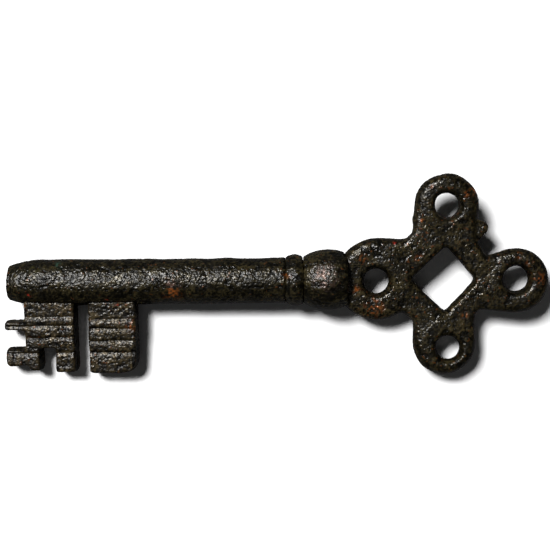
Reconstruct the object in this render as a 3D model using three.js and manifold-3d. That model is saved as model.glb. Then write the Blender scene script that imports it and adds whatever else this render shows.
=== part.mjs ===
// Bronze door key: a hollow shank with a cut bit, a collar and a knop, and a pierced bow of four lobes.
// Millimetres, +Z up. The key lies as it does on a table: shank along X with its tip at -X, bow at +X,
// bit towards -Y. It rests on its knop, its tip and a corner of its bit.

import * as THREE from "three";
import {
  mergeVertices,
  toCreasedNormals,
} from "three/addons/utils/BufferGeometryUtils.js";
import Module from "manifold-3d";

// Clearance between two pieces that seat in each other.
const seatGap = 0.3;

// Bow, measured from the middle of its lozenge opening, with the neck lobe towards the shank.
const webThickness = 4.8;
const lobeThickness = 5.3;
const lobeEdgeRound = 2.1;
const webEdgeRound = 1.3;
const holeFlare = 0.85;
const lozengeHalfLength = 8.2;
const lozengeHalfWidth = 8.6;
const lozengeCornerRound = 1.3;
const lozengeApexShift = 0.6;
const neckLobe = { x: -16.45, y: 0, radius: 10.1, holeX: -0.1, holeY: -0.5, holeRadius: 3.3 };
const topLobe = { x: 0.6, y: 18.3, radius: 7.8, holeX: 0.1, holeY: 0.1, holeRadius: 3.2 };
const bottomLobe = { x: 0.5, y: -16.15, radius: 7.7, holeX: 0.9, holeY: -1.1, holeRadius: 3.2 };
const endLobe = { x: 18.0, y: -0.35, radius: 8.0, holeX: 0, holeY: 0.4, holeRadius: 3.4 };

// The crotches between lobes: how far each lies from the corner where its two lobes' tangents cross.
const crotchRound = 1.5;
const topNeckCrotch = { x: -1.9, y: -0.4 };
const bottomNeckCrotch = { x: -2.9, y: 2.2 };
const bottomEndCrotch = { x: 0.3, y: 0.9 };
const topEndCrotch = { x: 2.0, y: -2.1 };

// The waists of the upper and lower arms: how high each lies, and where its left and right edges are.
const upperWaist = { y: 11.4, left: -7.5, right: 7.7 };
const lowerWaist = { y: -10.3, left: -7.0, right: 7.8 };
const waistRound = 1.2;

// Stubs left by the casting on the top lobe: a broken one towards the end lobe, a low one opposite.
const stubReach = 2.5;
const stubWidth = 3.4;
const stubThickness = 3.4;
const stubDrop = 6.2;
const bumpRadius = 2.2;
const bumpX = -6.1;
const bumpDrop = 3.5;

// Tang: the rod of the bow that runs through knop and collar into the barrel.
const tangRadius = 3.0;
const tangStart = 7.9;
const tangInBarrel = 12.5;
const tangChamfer = 0.6;

// Shank, measured along its axis from the middle of the neck lobe towards the tip. The old key is
// a little bent: the shank leans in the bow's plane.
const shankLean = 0.64;
const knopStart = 7.4;
const knopLength = 10.7;
const knopPeakAt = 0.41;
const knopRadius = 7.5;
const knopBowEndRadius = 6.5;
const knopCollarEndRadius = 5.8;
const collarLength = 4.1;
const collarRadius = 6.3;
const collarKnopEndRadius = 5.75;
const collarBarrelEndRadius = 5.55;
const spigotRadius = 4.4;
const spigotLength = 2.2;
const barrelCollarEndRadius = 5.44;
const barrelTipRadius = 5.7;
const barrelLength = 69.2;
const tipTaperLength = 8.4;
const tipTaperDrop = 1.55;
const boreRadius = 3.2;
const boreDepth = 35;
const boreCone = 1.6;

// Bit, measured from the shank's axis outwards.
const bladeThickness = 6.2;
const ribHeight = 0.55;
const ribFlank = 1.1;
const ribDrop = 0.15;
const bladeDraft = 0.45;
const bladeRootDepth = 4.6;
const bladeEdgeRound = 0.5;
const rearBladeEnd = 19.7;
const rearBladeWidth = 12.2;
const rearBladeReach = 23.0;
const rearCornerRound = 4.2;
const rearGrooves = [8.65, 10.95, 14.05, 17.1];
const frontBladeEnd = 3.7;
const frontBladeWidth = 12.8;
const frontBladeReach = 22.6;
const frontGrooves = [7.95, 10.15, 13.1, 17.0];
const wardSlotWidth = 3.6;
const nearToothWidth = 5.3;
const tineReach = 5.1;
const tineTop = 9.6;
const tineWidth = 2.25;

// The ward slot and the lower tine are measured inwards from the front blade's outer edge.
const wardSlotDepth = 6.2;
const lowerTineRise = 6.1;
const lowerTineWidth = 4.7;
const lowerTineStep = 1.2;

// Facets round a turned piece, and rows along a curve.
const shankSides = 40;
const lobeSides = 36;
const holeSides = 24;
const curveRows = 12;
const edgeRows = 5;

// Where each piece of the shank starts, along its axis.
const leanAngle = THREE.MathUtils.degToRad(shankLean);
const knopEnd = knopStart + knopLength;
const knopPeak = knopStart + knopPeakAt * knopLength;
const collarStart = knopEnd + seatGap;
const collarEnd = collarStart + collarLength;
const barrelShoulder = collarEnd + seatGap;
const barrelStart = barrelShoulder - spigotLength;
const barrelTip = barrelShoulder + barrelLength;
const tangBore = tangRadius + seatGap;

// The blades of the bit along the shank, each from its near end to its far one.
const rearBlade = { near: barrelTip - rearBladeEnd - rearBladeWidth, far: barrelTip - rearBladeEnd };
const frontBlade = { near: barrelTip - frontBladeEnd - frontBladeWidth, far: barrelTip - frontBladeEnd };

const wasm = await Module();
wasm.setup();

// A closed geometry as a solid for joins and cuts.
function solidOf(geometry) {
  const bare = geometry.clone();
  bare.deleteAttribute("normal");
  bare.deleteAttribute("uv");
  const merged = mergeVertices(bare, 1e-4);
  const corners = merged.index.array;
  const kept = [];
  for (let i = 0; i < corners.length; i += 3) {
    const [a, b, c] = corners.slice(i, i + 3);
    if (a !== b && b !== c && c !== a) kept.push(a, b, c);
  }
  return new wasm.Manifold(
    new wasm.Mesh({
      numProp: 3,
      vertProperties: new Float32Array(merged.attributes.position.array),
      triVerts: new Uint32Array(kept),
    }),
  );
}

// A solid as a geometry to draw.
function geometryOf(solid) {
  const { vertProperties, triVerts } = solid.getMesh();
  const geometry = new THREE.BufferGeometry();
  geometry.setAttribute("position", new THREE.BufferAttribute(vertProperties, 3));
  geometry.setIndex(new THREE.BufferAttribute(triVerts, 1));
  return toCreasedNormals(geometry, Math.PI / 6);
}

// A profile of [radius, height] pairs turned about the Z axis.
function turnedAboutZ(profile, sides) {
  const points = profile.map(([radius, height]) => new THREE.Vector2(radius, height));
  return new THREE.LatheGeometry(points, sides).rotateX(Math.PI / 2);
}

// A profile of [radius, distance] pairs turned about the shank's axis, distance running to the tip.
function turnedAboutShank(profile) {
  const points = profile.map(([radius, distance]) => new THREE.Vector2(radius, distance));
  return new THREE.LatheGeometry(points, shankSides).rotateZ(Math.PI / 2);
}

// A closed outline through [x, y, round] corners, each softened over its own length of edge.
function roundedOutline(corners) {
  const shape = new THREE.Shape();
  corners.forEach(([x, y, round], i) => {
    const corner = new THREE.Vector2(x, y);
    const before = new THREE.Vector2(...corners.at(i - 1));
    const after = new THREE.Vector2(...corners[(i + 1) % corners.length]);
    const start = before.sub(corner).setLength(round).add(corner);
    const end = after.sub(corner).setLength(round).add(corner);
    if (i === 0) shape.moveTo(start.x, start.y);
    else shape.lineTo(start.x, start.y);
    if (round > 0) shape.quadraticCurveTo(x, y, end.x, end.y);
  });
  shape.closePath();
  return shape;
}

// A plate of the given thickness, centred on Z = 0, its edges drawn in towards both faces.
function plate(shape, thickness, edgeInset, edgeHeight, rows) {
  const depth = thickness - 2 * edgeHeight;
  return new THREE.ExtrudeGeometry(shape, {
    depth,
    bevelThickness: edgeHeight,
    bevelSize: edgeInset,
    bevelOffset: -edgeInset,
    bevelSegments: rows,
    curveSegments: 5,
  }).translate(0, 0, -depth / 2);
}

function bowSolid() {
  const halfLobe = lobeThickness / 2;

  // A lobe is a disc whose rim is half an ellipse.
  const lobe = ({ x, y, radius }) => {
    const rim = [];
    for (let i = 0; i <= 2 * edgeRows; i++) {
      const angle = (Math.PI * (i - edgeRows)) / (2 * edgeRows);
      rim.push([
        radius - lobeEdgeRound * (1 - Math.cos(angle)),
        halfLobe * Math.sin(angle),
      ]);
    }
    const profile = [[0, -halfLobe], ...rim, [0, halfLobe]];
    return solidOf(turnedAboutZ(profile, lobeSides).translate(x, y, 0));
  };

  // A lobe's hole is narrowest at mid thickness and flares to both faces.
  const hole = ({ x, y, holeX, holeY, holeRadius }) => {
    const over = 1;
    const wall = [];
    for (let i = -edgeRows; i <= edgeRows; i++) {
      const t = i / edgeRows;
      wall.push([holeRadius + holeFlare * Math.abs(t) ** 2.5, t * halfLobe]);
    }
    const mouth = holeRadius + holeFlare;
    const profile = [
      [0, -halfLobe - over],
      [mouth, -halfLobe - over],
      ...wall,
      [mouth, halfLobe + over],
      [0, halfLobe + over],
    ];
    return solidOf(turnedAboutZ(profile, holeSides).translate(x + holeX, y + holeY, 0));
  };

  // The web is one outline through the lobes' widest points and the crotches between them.
  const corner = (sideLobe, side, otherLobe, otherSide, offset) => [
    sideLobe.x + side * sideLobe.radius + offset.x,
    otherLobe.y + otherSide * otherLobe.radius + offset.y,
    crotchRound,
  ];
  const outline = roundedOutline([
    [topLobe.x + topLobe.radius, topLobe.y, 0],
    [topLobe.x - topLobe.radius, topLobe.y, 0],
    [upperWaist.left, upperWaist.y, waistRound],
    corner(topLobe, -1, neckLobe, 1, topNeckCrotch),
    [neckLobe.x, neckLobe.y + neckLobe.radius, 0],
    [neckLobe.x, neckLobe.y - neckLobe.radius, 0],
    corner(bottomLobe, -1, neckLobe, -1, bottomNeckCrotch),
    [lowerWaist.left, lowerWaist.y, waistRound],
    [bottomLobe.x - bottomLobe.radius, bottomLobe.y, 0],
    [bottomLobe.x + bottomLobe.radius, bottomLobe.y, 0],
    [lowerWaist.right, lowerWaist.y, waistRound],
    corner(bottomLobe, 1, endLobe, -1, bottomEndCrotch),
    [endLobe.x, endLobe.y - endLobe.radius, 0],
    [endLobe.x, endLobe.y + endLobe.radius, 0],
    corner(topLobe, 1, endLobe, 1, topEndCrotch),
    [upperWaist.right, upperWaist.y, waistRound],
  ]);
  const web = solidOf(plate(outline, webThickness, webEdgeRound, webThickness * 0.4, 3));

  // The lozenge opening is cut by what is left of a block round a plate with that opening.
  const around = 2 * (lozengeHalfLength + lozengeHalfWidth);
  const rim = new THREE.Shape();
  rim.moveTo(-around, -around);
  rim.lineTo(around, -around);
  rim.lineTo(around, around);
  rim.lineTo(-around, around);
  rim.closePath();
  rim.holes.push(
    roundedOutline([
      [lozengeHalfLength, 0, lozengeCornerRound],
      [lozengeApexShift, lozengeHalfWidth, lozengeCornerRound],
      [-lozengeHalfLength, 0, lozengeCornerRound],
      [lozengeApexShift, -lozengeHalfWidth, lozengeCornerRound],
    ]),
  );
  const cutHeight = lobeThickness + 0.2;
  const block = new THREE.BoxGeometry(around, around, cutHeight);
  const opening = solidOf(block).subtract(
    solidOf(plate(rim, cutHeight, webEdgeRound, cutHeight * 0.4, 3)),
  );

  // The stubs stand on the top lobe's flanks.
  const stubRoot = topLobe.x + topLobe.radius - 1.5;
  const stubTip = topLobe.x + topLobe.radius + stubReach;
  const stubTop = topLobe.y - stubDrop + stubWidth / 2;
  const stub = solidOf(
    plate(
      roundedOutline([
        [stubRoot, stubTop + 1.6, 0],
        [stubRoot, stubTop - stubWidth - 2.2, 0],
        [stubTip, stubTop - stubWidth * 0.45, 0.6],
        [stubTip - 0.2, stubTop + 0.1, 0.6],
      ]),
      stubThickness,
      0.3,
      0.8,
      1,
    ),
  );
  const bump = solidOf(
    turnedAboutZ(
      [
        [0, -1.5],
        [bumpRadius - 0.6, -1.5],
        [bumpRadius, -0.6],
        [bumpRadius, 0.6],
        [bumpRadius - 0.6, 1.5],
        [0, 1.5],
      ],
      holeSides,
    ).translate(topLobe.x + bumpX, topLobe.y - bumpDrop, 0),
  );

  // The tang leaves the neck lobe along the shank's axis.
  const tangEnd = barrelStart + tangInBarrel;
  const tang = solidOf(
    turnedAboutShank([
      [0, tangStart],
      [tangRadius, tangStart],
      [tangRadius, tangEnd - tangChamfer],
      [tangRadius - tangChamfer, tangEnd],
      [0, tangEnd],
    ])
      .rotateZ(leanAngle)
      .translate(neckLobe.x, neckLobe.y, 0),
  );

  const lobes = [neckLobe, topLobe, bottomLobe, endLobe];
  let body = web.add(stub).add(bump);
  for (const each of lobes) body = body.add(lobe(each));
  body = body.subtract(opening);
  for (const each of lobes) body = body.subtract(hole(each));
  return body.add(tang);
}

function knopSolid() {
  const profile = [[tangBore, knopStart]];
  for (let i = 0; i <= curveRows; i++) {
    const distance = knopStart + (knopLength * i) / curveRows;
    const towardsBow = distance < knopPeak;
    const end = towardsBow ? knopStart : knopEnd;
    const endRadius = towardsBow ? knopBowEndRadius : knopCollarEndRadius;
    const t = (distance - knopPeak) / (end - knopPeak);
    profile.push([knopRadius - (knopRadius - endRadius) * t ** 2.2, distance]);
  }
  profile.push([tangBore, knopEnd], [tangBore, knopStart]);
  const bead = solidOf(turnedAboutShank(profile));

  // The bead is notched to straddle the neck lobe.
  const notchRadius = neckLobe.radius + seatGap;
  const notchHalf = lobeThickness / 2 + seatGap;
  const notch = turnedAboutZ(
    [
      [0, -notchHalf],
      [notchRadius, -notchHalf],
      [notchRadius, notchHalf],
      [0, notchHalf],
    ],
    lobeSides,
  );
  return bead.subtract(solidOf(notch));
}

function collarSolid() {
  const spigotBore = spigotRadius + seatGap;
  const step = barrelStart - seatGap;
  const profile = [[tangBore, collarStart]];
  for (let i = 0; i <= curveRows; i++) {
    const t = i / curveRows;
    const chord = collarKnopEndRadius + (collarBarrelEndRadius - collarKnopEndRadius) * t;
    const rise = collarRadius - (collarKnopEndRadius + collarBarrelEndRadius) / 2;
    profile.push([
      chord + rise * Math.sin(Math.PI * t) ** 0.8,
      collarStart + collarLength * t,
    ]);
  }
  profile.push(
    [spigotBore, collarEnd],
    [spigotBore, step],
    [tangBore, step],
    [tangBore, collarStart],
  );
  return solidOf(turnedAboutShank(profile));
}

function barrelSolid() {
  const taperStart = barrelTip - tipTaperLength;
  const profile = [
    [0, barrelStart + tangInBarrel + seatGap],
    [tangBore, barrelStart + tangInBarrel + seatGap],
    [tangBore, barrelStart],
    [spigotRadius, barrelStart],
    [spigotRadius, barrelShoulder],
    [barrelCollarEndRadius, barrelShoulder],
  ];
  for (let i = 0; i <= 6; i++) {
    const t = i / 6;
    profile.push([
      barrelTipRadius - tipTaperDrop * t ** 2,
      taperStart + tipTaperLength * t,
    ]);
  }
  profile.push(
    [boreRadius, barrelTip],
    [boreRadius, barrelTip - boreDepth],
    [0, barrelTip - boreDepth - boreCone],
  );
  let barrel = solidOf(turnedAboutShank(profile));

  // A flat seat is cut for the root of each blade.
  const seatHalf = bladeThickness / 2 - ribHeight / 2 + seatGap;
  const seatFloor = bladeRootDepth - seatGap;
  for (const { near, far } of [rearBlade, frontBlade]) {
    const seat = new THREE.BoxGeometry(far - near + 2 * seatGap, seatFloor, 2 * seatHalf);
    seat.translate(-(near + far) / 2, -1.5 * seatFloor, 0);
    barrel = barrel.subtract(solidOf(seat));
  }
  return barrel;
}

// A bar along the shank whose section is the blade's: a flat root, then ribs between grooves.
function ribbedBar(grooves, reach, near, far) {
  const crest = bladeThickness / 2;
  const land = crest - ribHeight / 2;
  const floor = crest - ribHeight;
  const side = [[bladeRootDepth, land]];
  grooves.forEach((at, i) => {
    side.push([at, i === 0 ? land : crest]);
    side.push([at + ribDrop, floor]);
    side.push([at + ribDrop + ribFlank, crest]);
  });
  side.push([reach - bladeEdgeRound, crest]);
  side.push([reach, crest - bladeEdgeRound]);
  const section = new THREE.Shape();
  section.moveTo(side[0][0], side[0][1]);
  for (const [out, half] of side.slice(1)) section.lineTo(out, half);
  for (const [out, half] of side.toReversed()) section.lineTo(out, -half);
  section.closePath();
  const over = 1;
  const bar = new THREE.ExtrudeGeometry(section, {
    depth: far - near + 2 * over,
    bevelEnabled: false,
  });
  // The section's x runs outwards from the shank, its y along Z, its depth along the shank.
  bar.applyMatrix4(
    new THREE.Matrix4().makeBasis(
      new THREE.Vector3(0, -1, 0),
      new THREE.Vector3(0, 0, 1),
      new THREE.Vector3(-1, 0, 0),
    ),
  );
  return solidOf(bar.translate(-near + over, 0, 0));
}

// A blade is its ribbed bar within its cut outline, given as [distance, reach, round] corners.
function bladeSolid(grooves, reach, corners) {
  const near = Math.min(...corners.map(([distance]) => distance));
  const far = Math.max(...corners.map(([distance]) => distance));
  const outline = roundedOutline(corners.map(([distance, out, round]) => [-distance, -out, round]));
  const cut = plate(outline, bladeThickness + 0.2, bladeDraft, bladeThickness / 2, 1);
  return ribbedBar(grooves, reach, near, far).intersect(solidOf(cut));
}

function rearBladeSolid() {
  const { near, far } = rearBlade;
  const inside = bladeRootDepth - 1;
  return bladeSolid(rearGrooves, rearBladeReach, [
    [near, inside, 0],
    [near, rearBladeReach, rearCornerRound],
    [far, rearBladeReach, bladeEdgeRound * 2],
    [far, inside, 0],
  ]);
}

function frontBladeSolid() {
  const { near, far } = frontBlade;
  const inside = bladeRootDepth - 1;
  const slotNear = near + nearToothWidth;
  const slotFar = slotNear + wardSlotWidth;
  const wardSlotTop = frontBladeReach - wardSlotDepth;
  const tip = far + tineReach;
  const lowerTineTop = frontBladeReach - lowerTineRise;
  const lowerTineBottom = lowerTineTop + lowerTineWidth;
  const toothBottom = frontBladeReach - lowerTineStep * 0.4;
  const round = bladeEdgeRound * 2;
  return bladeSolid(frontGrooves, frontBladeReach, [
    [near, inside, 0],
    [near, frontBladeReach, round],
    [slotNear, frontBladeReach, round],
    [slotNear, wardSlotTop, 0.6],
    [slotFar, wardSlotTop, 0.6],
    [slotFar, toothBottom, 0.7],
    [far - lowerTineStep, toothBottom, 0.7],
    [far - lowerTineStep * 0.5, lowerTineBottom - 0.5, 0.5],
    [tip - 0.2, lowerTineBottom, 1.7],
    [tip - 0.2, lowerTineTop, 1.0],
    [far, lowerTineTop, 1.2],
    [far, tineTop + tineWidth, 1.0],
    [tip, tineTop + tineWidth, tineWidth * 0.45],
    [tip, tineTop, tineWidth * 0.45],
    [far, tineTop, 1.0],
    [far, inside, 0],
  ]);
}

function piece(name, solid, color) {
  const material = new THREE.MeshStandardMaterial({
    color,
    metalness: 0.85,
    roughness: 0.45,
  });
  const mesh = new THREE.Mesh(geometryOf(solid), material);
  mesh.name = name;
  return mesh;
}

const shank = new THREE.Group();
shank.position.set(neckLobe.x, neckLobe.y, 0);
shank.rotation.z = leanAngle;
shank.add(
  piece("knop", knopSolid(), 0x3a3226),
  piece("collar", collarSolid(), 0x403729),
  piece("barrel", barrelSolid(), 0x352e22),
  piece("bit_rear", rearBladeSolid(), 0x443b2d),
  piece("bit_front", frontBladeSolid(), 0x443b2d),
);

const straight = new THREE.Group();
straight.add(piece("bow", bowSolid(), 0x332c20), shank);

// At rest the knop and the tip's shoulder carry the shank, which pitches towards the tip, and the
// key rolls until the near corner of the front blade's tooth meets the table.
const tipShoulder = barrelTip - tipTaperLength;
const restPitch = Math.asin((knopRadius - barrelTipRadius) / (tipShoulder - knopPeak));
const cornerAt = frontBlade.near + nearToothWidth / 2;
const cornerHeight = knopRadius - (cornerAt - knopPeak) * Math.sin(restPitch);
const cornerHalf = bladeThickness / 2;
const cornerReach = frontBladeReach - bladeEdgeRound;
const restRoll =
  Math.asin(cornerHeight / Math.hypot(cornerReach, cornerHalf)) -
  Math.atan2(cornerHalf, cornerReach);

const rolled = new THREE.Group();
rolled.rotation.x = restRoll;
rolled.add(straight);
const key = new THREE.Group();
key.rotation.y = -restPitch;
key.add(rolled);

// The origin is the middle of the underside of the key's box.
key.updateMatrixWorld(true);
const box = new THREE.Box3().setFromObject(key, true);
key.position.set(-(box.min.x + box.max.x) / 2, -(box.min.y + box.max.y) / 2, -box.min.z);

export default key;
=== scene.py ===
"""Old bronze door key lying on a white table, seen from straight above.

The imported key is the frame. Each of its six nodes is replaced by a finely meshed piece of the same
shape with softened corners and the relief of a rough, corroded casting. All lengths are in metres.
"""

import bmesh
import bpy
import numpy as np
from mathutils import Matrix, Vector


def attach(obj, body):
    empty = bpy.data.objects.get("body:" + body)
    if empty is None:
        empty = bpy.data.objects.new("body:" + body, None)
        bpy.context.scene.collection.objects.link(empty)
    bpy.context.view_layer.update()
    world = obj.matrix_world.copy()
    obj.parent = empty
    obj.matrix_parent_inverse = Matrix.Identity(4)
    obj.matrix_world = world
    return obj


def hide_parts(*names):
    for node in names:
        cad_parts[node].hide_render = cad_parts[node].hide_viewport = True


MM = 0.001

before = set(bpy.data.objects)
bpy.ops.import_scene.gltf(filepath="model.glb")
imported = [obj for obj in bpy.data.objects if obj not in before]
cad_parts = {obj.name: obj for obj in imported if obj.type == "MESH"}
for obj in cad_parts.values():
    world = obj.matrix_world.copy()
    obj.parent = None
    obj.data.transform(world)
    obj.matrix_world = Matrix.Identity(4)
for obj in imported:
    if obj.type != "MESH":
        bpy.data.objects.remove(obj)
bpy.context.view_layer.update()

# Camera: straight above the key, so that 137.5 mm at the height of the bow fill the square frame.
SEEN_WIDTH = 137.5 * MM
CAMERA_DISTANCE = 275 * MM
CAMERA_PLANE = 7.6 * MM
CAMERA_X = 0.06 * MM
CAMERA_Y = -0.15 * MM
SENSOR_WIDTH = 36
CLIP_NEAR = 10 * MM
CLIP_FAR = 10

# Lights: a soft box at the upper left, whose shadows fall to the lower right, and a dim strip on the
# other side, along the shank.
KEY_PLACE = (-675 * MM, 600 * MM, 1500 * MM)
KEY_SIZE = 440 * MM
KEY_POWER = 50
STRIP_PLACE = (20 * MM, -200 * MM, 450 * MM)
STRIP_LENGTH = 300 * MM
STRIP_WIDTH = 40 * MM
STRIP_POWER = 0.04

# Floor and sky: the floor's colour in gloss is what the key mirrors. Past FAR_START from the key's
# middle the floor turns to plain white for the camera, and it is all white at FAR_END.
FLOOR_HALF = 1.5
FLOOR_COLOUR = "#f4f4f4"
FLOOR_COLOUR_IN_GLOSS = "#484848"
FLOOR_ROUGHNESS = 0.9
FAR_START = 0.1
FAR_END = 0.3
WHITE = (1, 1, 1, 1)
SKY_STRENGTH = 0.012

# Meshing of the cast pieces, how far each is swelled to close the seams between them, and the slow
# waves, measured from trough to crest, that leave no outline quite true.
MERGE_DISTANCE = 0.002 * MM
FINE_VOXEL = 0.26 * MM
SMOOTH_FACTOR = 0.5
SEAM_SWELL = 0.14 * MM
WAVE_LENGTH = 4 * MM
WAVE_DEPTH = 0.32 * MM

# Relief: the shares of sharp ridges of the piece's grain, of noise half as coarse and of noise
# BROAD_GRAINS times as coarse, and pits where noise PIT_GRAINS times as coarse rises over PIT_EDGE.
# MIDDLE is where the relief attribute puts a piece's mean height.
RIDGE_SHARE = 0.5
FINE_SHARE = 0.3
BROAD_SHARE = 0.2
BROAD_GRAINS = 3
PIT_GRAINS = 1.4
PIT_EDGE = 0.68
PIT_DEPTH = 3
MIDDLE = 0.5

# Whole numbers that scatter the value noise, and what the waves and stains add to a piece's seed.
SCATTER_X, SCATTER_Y, SCATTER_Z = 73856093, 19349663, 83492791
SCATTER_SEED = 97531
SCATTER_MIX = 1274126177
SIXTEEN_BITS = 0xFFFF
WAVE_SEED = 5
STAIN_SEED = 7

# Stains: the size of the speckle that breaks them up, how hard it does so, and the least upward
# part of the normal that takes one.
STAIN_GRAIN = 0.5 * MM
STAIN_CONTRAST = 4
STAIN_OFFSET = 1.7
STAIN_LEAST_UP = 0.2

# Patina: crystals of the film, specks of corrosion and broad blotches. Real crystals of about 0.1 mm
# are too fine for the render, so they are drawn at 0.6 mm, which is 2 to 3 pixels.
CRYSTAL_GRAIN = 0.6 * MM
CRYSTAL_DETAIL = 1
SPECK_GRAIN = 0.9 * MM
SPECK_DETAIL = 1
BLOTCH_GRAIN = 4 * MM
BLOTCH_DETAIL = 3
NOISE_ROUGHNESS = 0.6
BUMP_DEPTH = 0.22 * MM

# Where each layer of the patina begins and is complete, on the relief, the blotches or the specks
GROUND_FROM_TO = (0.3, 0.55)
CREST_FROM_TO = (0.55, 0.75)
BLOTCH_FROM_TO = (0.35, 0.7)
GLOSS_FROM_TO = (0.3, 0.7)
RUST_FROM_TO = (0.74, 0.8)
BLOTCH_STRENGTH = 0.45
GLOSS_RANGE = 0.18
RUST_COLOUR = "#4a2c14"

# Clean bronze is a full metal. The dark film over it isn't, and most of the gloss is the film's.
FILM_METALLIC = 0.3
FILM_SPECULAR = 0.4

# Sockets of a colour mix
MIX_SHARE, MIX_UNDER, MIX_OVER, MIX_RESULT = 0, 6, 7, 2


# Colours


def to_linear(hex_colour):
    """Linear RGBA of an sRGB colour such as #3a3226, by the sRGB standard's own curve."""
    parts = np.array([int(hex_colour[i : i + 2], 16) for i in (1, 3, 5)]) / 255
    linear = np.where(parts <= 0.04045, parts / 12.92, ((parts + 0.055) / 1.055) ** 2.4)
    return (*linear.tolist(), 1.0)


# Stains on the side that shows: colour, then places as x, y and radius in millimetres.
STAINS = {
    "#84481c": [
        (-25.2, -4.1, 1.5),
        (-35.9, -12.6, 1.1),
        (-63.2, -8.1, 0.9),
        (2.9, -0.3, 0.6),
        (21.6, 3.9, 0.7),
        (20.1, -3.9, 0.8),
        (24.6, -8.1, 1.7),
        (35.6, 3.8, 0.8),
        (46.6, 19.6, 0.6),
        (48.8, 20.4, 1.0),
        (36.1, 13.1, 0.6),
        (60.1, 4.6, 0.6),
        (62.6, 2.8, 0.6),
        (65.1, -1.1, 1.1),
        (47.1, -10.2, 0.6),
    ],
    "#98281a": [(-39.3, -7.8, 0.4), (-41.7, -6.3, 0.4), (-60.9, -5.1, 0.4), (29.6, 7.6, 0.4)],
    "#5e473c": [(-25.4, -2.4, 1.5), (12.3, -0.6, 2.2)],
    "#2c4438": [(-66.2, -7.6, 0.6), (-53.9, 2.1, 0.8)],
    "#3c3818": [(-59.4, 1.1, 1.1)],
}


# Relief


def value_noise(points, cell, seed):
    """A smooth noise from 0 to 1.

    Space is cut into cubes of side cell, and each corner has a scattered value. A point takes the
    blend of its cube's eight corners. Along each axis the weight is three times the square of the
    way across, less twice its cube.
    """
    scaled = points / cell
    base = np.floor(scaled).astype(np.int64)
    t = scaled - base
    t = t * t * (3 - 2 * t)
    total = np.zeros(len(points))
    for corner in np.ndindex(2, 2, 2):
        at = base + np.array(corner)
        mixed = (at[:, 0] * SCATTER_X) ^ (at[:, 1] * SCATTER_Y) ^ (at[:, 2] * SCATTER_Z)
        mixed = mixed ^ (seed * SCATTER_SEED)
        mixed = (mixed ^ (mixed >> 13)) * SCATTER_MIX
        value = ((mixed ^ (mixed >> 16)) & SIXTEEN_BITS) / SIXTEEN_BITS
        weight = np.where(np.array(corner) == 1, t, 1 - t).prod(axis=1)
        total += weight * value
    return total


def cast_relief(points, grain, seed):
    """The height of a rough casting.

    A noise folded at its middle makes sharp ridges of the grain. Finer and broader noise is added,
    and where another noise peaks, a pit goes down by its rise over the edge times the pit depth.
    """
    rough = RIDGE_SHARE * (1 - np.abs(2 * value_noise(points, grain, seed) - 1))
    rough += FINE_SHARE * value_noise(points, grain / 2, seed + 1)
    rough += BROAD_SHARE * value_noise(points, BROAD_GRAINS * grain, seed + 2)
    pits = np.clip(value_noise(points, PIT_GRAINS * grain, seed + 3) - PIT_EDGE, 0, 1) * PIT_DEPTH
    return rough - pits


def stain_colours(points, normals, seed):
    """The colour and alpha of the strongest stain at each point.

    A stain's alpha falls off as e to the power of minus the square of the distance over its radius,
    and a speckle breaks it up. Only what faces upwards is stained.
    """
    colours = np.zeros((len(points), 4), np.float32)
    speckle = value_noise(points, STAIN_GRAIN, seed)
    broken = np.clip(STAIN_CONTRAST * speckle - STAIN_OFFSET, 0, 1)
    faces_up = normals[:, 2] > STAIN_LEAST_UP
    for hex_colour, places in STAINS.items():
        rgb = to_linear(hex_colour)[:3]
        for x, y, radius in places:
            away = np.hypot(points[:, 0] - x * MM, points[:, 1] - y * MM) / (radius * MM)
            alpha = np.exp(-(away**2)) * broken * faces_up
            stronger = alpha > colours[:, 3]
            colours[stronger, :3] = rgb
            colours[stronger, 3] = alpha[stronger]
    return colours


def cast_piece(node, material, grain, depth, softening, seed):
    """The node's shape, remeshed and softened.

    Each point moves along its normal by the swell, the relief times its depth and the waves.
    """
    merged = bmesh.new()
    merged.from_mesh(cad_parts[node].data)
    bmesh.ops.remove_doubles(merged, verts=merged.verts, dist=MERGE_DISTANCE)
    shape = bpy.data.meshes.new(node + "_shape")
    merged.to_mesh(shape)
    merged.free()

    piece = bpy.data.objects.new(node + "_cast", shape)
    bpy.context.scene.collection.objects.link(piece)
    remesh = piece.modifiers.new("Remesh", "REMESH")
    remesh.mode = "VOXEL"
    remesh.voxel_size = FINE_VOXEL
    smooth = piece.modifiers.new("Smooth", "SMOOTH")
    smooth.factor = SMOOTH_FACTOR
    smooth.iterations = softening
    evaluated = piece.evaluated_get(bpy.context.evaluated_depsgraph_get())
    mesh = bpy.data.meshes.new_from_object(evaluated)
    piece.modifiers.clear()
    piece.data = mesh

    points = np.empty(len(mesh.vertices) * 3)
    normals = np.empty(len(mesh.vertices) * 3)
    mesh.vertices.foreach_get("co", points)
    mesh.vertices.foreach_get("normal", normals)
    points = points.reshape(-1, 3)
    normals = normals.reshape(-1, 3)
    relief = cast_relief(points, grain, seed)
    relief -= relief.mean()
    height = mesh.attributes.new("relief", "FLOAT", "POINT")
    height.data.foreach_set("value", np.clip(MIDDLE + relief, 0, 1).astype(np.float32))
    stain = mesh.attributes.new("stain", "FLOAT_COLOR", "POINT")
    stain.data.foreach_set("color", stain_colours(points, normals, seed + STAIN_SEED).ravel())
    waves = value_noise(points, WAVE_LENGTH, seed + WAVE_SEED) - 0.5
    outwards = SEAM_SWELL + depth * relief + WAVE_DEPTH * waves
    moved = points + normals * outwards[:, None]
    mesh.vertices.foreach_set("co", moved.ravel())
    mesh.shade_smooth()
    mesh.update()

    mesh.materials.clear()
    mesh.materials.append(material)
    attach(piece, "root")
    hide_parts(node)


# Materials


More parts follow.
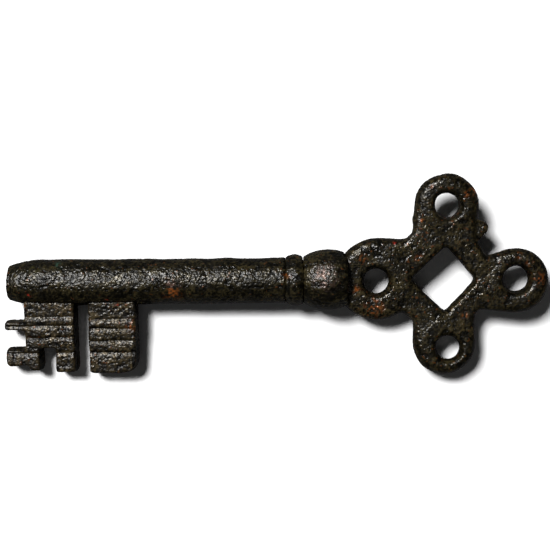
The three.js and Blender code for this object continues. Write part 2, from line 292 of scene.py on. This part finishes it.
def add_node(tree, kind, inputs=None, **settings):
    """A new shader node with its settings, each input a value or another node's output."""
    made = tree.nodes.new(kind)
    for name, value in settings.items():
        setattr(made, name, value)
    for name, value in (inputs or {}).items():
        if isinstance(value, bpy.types.NodeSocket):
            tree.links.new(value, made.inputs[name])
        else:
            made.inputs[name].default_value = value
    return made


def aged_bronze(name, pit, ground, crest, rust_share, gloss, bump):
    """Cast bronze under a dark patina, in sRGB colours.

    The colour runs from pit over ground to crest as the relief rises, and layers are laid over it:
    blotches as dark as the pits, rust where the specks peak, and the stains. Roughness runs from
    gloss upwards with the blotches, and specks and crystals tilt the surface.
    """
    material = bpy.data.materials.new(name)
    material.use_nodes = True
    tree = material.node_tree
    shader = tree.nodes["Principled BSDF"]
    place = add_node(tree, "ShaderNodeTexCoord").outputs["Object"]
    relief = add_node(tree, "ShaderNodeAttribute", attribute_name="relief").outputs["Fac"]
    stain = add_node(tree, "ShaderNodeAttribute", attribute_name="stain").outputs
    crystals, blotches, specks = (
        add_node(
            tree,
            "ShaderNodeTexNoise",
            {
                "Vector": place,
                "Scale": 1 / grain,
                "Detail": detail,
                "Roughness": NOISE_ROUGHNESS,
            },
        ).outputs["Fac"]
        for grain, detail in (
            (CRYSTAL_GRAIN, CRYSTAL_DETAIL),
            (BLOTCH_GRAIN, BLOTCH_DETAIL),
            (SPECK_GRAIN, SPECK_DETAIL),
        )
    )

    rust_from_to = [end - rust_share for end in RUST_FROM_TO]
    ground_share, crest_share, blotch_share, rust, roughness = (
        add_node(
            tree,
            "ShaderNodeMapRange",
            {
                "Value": followed,
                "From Min": from_to[0],
                "From Max": from_to[1],
                "To Min": at_first,
                "To Max": at_last,
            },
        ).outputs["Result"]
        for followed, from_to, at_first, at_last in (
            (relief, GROUND_FROM_TO, 0, 1),
            (relief, CREST_FROM_TO, 0, 1),
            (blotches, BLOTCH_FROM_TO, 0, BLOTCH_STRENGTH),
            (specks, rust_from_to, 0, 1),
            (blotches, GLOSS_FROM_TO, gloss, gloss + GLOSS_RANGE),
        )
    )

    colour = to_linear(pit)
    for share, layer in (
        (ground_share, to_linear(ground)),
        (crest_share, to_linear(crest)),
        (blotch_share, to_linear(pit)),
        (rust, to_linear(RUST_COLOUR)),
        (stain["Alpha"], stain["Color"]),
    ):
        mix = add_node(
            tree,
            "ShaderNodeMix",
            {MIX_SHARE: share, MIX_UNDER: colour, MIX_OVER: layer},
            data_type="RGBA",
        )
        colour = mix.outputs[MIX_RESULT]
    tree.links.new(colour, shader.inputs["Base Color"])
    tree.links.new(roughness, shader.inputs["Roughness"])
    shader.inputs["Metallic"].default_value = FILM_METALLIC
    shader.inputs["Specular IOR Level"].default_value = FILM_SPECULAR

    speck_bump = {"Height": specks, "Strength": bump, "Distance": BUMP_DEPTH}
    coarse = add_node(tree, "ShaderNodeBump", speck_bump).outputs["Normal"]
    crystal_bump = {"Height": crystals, "Strength": bump, "Distance": BUMP_DEPTH, "Normal": coarse}
    rough = add_node(tree, "ShaderNodeBump", crystal_bump).outputs["Normal"]
    tree.links.new(rough, shader.inputs["Normal"])
    return material


# Cast bronze of the bow: pitted and nearly black, with an olive-brown ground that glints
bow_bronze = aged_bronze("bow_bronze", "#070603", "#1c180d", "#3f3722", 0.07, 0.2, 0.78)
# Cast bronze of the shank: dark olive, crinkled, with a bright line of glints along its top
shank_bronze = aged_bronze("shank_bronze", "#060502", "#17140a", "#3a331e", 0.05, 0.22, 1.0)
# Cast bronze of the bit: lighter and browner, with rough crests on its ribs
bit_bronze = aged_bronze("bit_bronze", "#090705", "#211c11", "#4b402a", 0.06, 0.24, 0.9)

# Each piece: node, material, grain and depth of the relief, smoothing passes and seed
cast_piece("bow", bow_bronze, 0.55 * MM, 0.16 * MM, 16, 11)
cast_piece("knop", shank_bronze, 0.7 * MM, 0.18 * MM, 6, 23)
cast_piece("collar", shank_bronze, 0.7 * MM, 0.18 * MM, 4, 31)
cast_piece("barrel", shank_bronze, 0.55 * MM, 0.22 * MM, 3, 41)
cast_piece("bit_rear", bit_bronze, 0.55 * MM, 0.24 * MM, 2, 53)
cast_piece("bit_front", bit_bronze, 0.55 * MM, 0.24 * MM, 2, 61)


# Stage


def soft_box(name, place, length, width, power, target):
    """A rectangular lamp at place, turned to shine at target."""
    data = bpy.data.lights.new(name, "AREA")
    data.shape = "RECTANGLE"
    data.size = length
    data.size_y = width
    data.energy = power
    light = bpy.data.objects.new(name, data)
    bpy.context.scene.collection.objects.link(light)
    light.location = place
    light.rotation_euler = (Vector(target) - Vector(place)).to_track_quat("-Z", "Y").to_euler()


soft_box("key_light", KEY_PLACE, KEY_SIZE, KEY_SIZE, KEY_POWER, (0, 0, 0))
soft_box("strip_light", STRIP_PLACE, STRIP_LENGTH, STRIP_WIDTH, STRIP_POWER, (STRIP_PLACE[0], 0, 0))

# White floor, wide enough for every view
corners = [(x * FLOOR_HALF, y * FLOOR_HALF, 0) for x, y in ((-1, -1), (1, -1), (1, 1), (-1, 1))]
floor_mesh = bpy.data.meshes.new("floor")
floor_mesh.from_pydata(corners, [], [(0, 1, 2, 3)])
floor = bpy.data.objects.new("floor", floor_mesh)
bpy.context.scene.collection.objects.link(floor)
floor_paint = bpy.data.materials.new("white_floor")
floor_paint.use_nodes = True
floor_tree = floor_paint.node_tree
floor_shader = floor_tree.nodes["Principled BSDF"]
floor_shader.inputs["Roughness"].default_value = FLOOR_ROUGHNESS
floor_shader.inputs["Specular IOR Level"].default_value = 0.0
ray = add_node(floor_tree, "ShaderNodeLightPath").outputs
floor_colour = add_node(
    floor_tree,
    "ShaderNodeMix",
    {
        MIX_SHARE: ray["Is Glossy Ray"],
        MIX_UNDER: to_linear(FLOOR_COLOUR),
        MIX_OVER: to_linear(FLOOR_COLOUR_IN_GLOSS),
    },
    data_type="RGBA",
).outputs[MIX_RESULT]
floor_tree.links.new(floor_colour, floor_shader.inputs["Base Color"])

# Plain white to the camera, far from the key
floor_place = add_node(floor_tree, "ShaderNodeTexCoord").outputs["Object"]
away = add_node(floor_tree, "ShaderNodeVectorMath", {0: floor_place}, operation="LENGTH")
far = add_node(
    floor_tree,
    "ShaderNodeMapRange",
    {"Value": away.outputs["Value"], "From Min": FAR_START, "From Max": FAR_END},
).outputs["Result"]
far_and_seen = add_node(
    floor_tree, "ShaderNodeMath", {0: far, 1: ray["Is Camera Ray"]}, operation="MULTIPLY"
).outputs["Value"]
floor_shader.inputs["Emission Color"].default_value = WHITE
floor_tree.links.new(far_and_seen, floor_shader.inputs["Emission Strength"])
floor_mesh.materials.append(floor_paint)

# The sky is white to the camera and a dim fill to everything else
world = bpy.data.worlds.new("studio")
bpy.context.scene.world = world
world.use_nodes = True
sky = world.node_tree
background = sky.nodes["Background"]
background.inputs["Color"].default_value = WHITE
seen = add_node(sky, "ShaderNodeLightPath").outputs["Is Camera Ray"]
sky_strength = add_node(
    sky, "ShaderNodeMapRange", {"Value": seen, "To Min": SKY_STRENGTH, "To Max": 1.0}
).outputs["Result"]
sky.links.new(sky_strength, background.inputs["Strength"])

camera_data = bpy.data.cameras.new("camera")
camera_data.sensor_width = SENSOR_WIDTH
camera_data.lens = SENSOR_WIDTH * CAMERA_DISTANCE / SEEN_WIDTH
camera_data.clip_start = CLIP_NEAR
camera_data.clip_end = CLIP_FAR
camera = bpy.data.objects.new("camera", camera_data)
bpy.context.scene.collection.objects.link(camera)
camera.location = (CAMERA_X, CAMERA_Y, CAMERA_PLANE + CAMERA_DISTANCE)
bpy.context.scene.camera = camera
bpy.context.scene.view_settings.view_transform = "Standard"
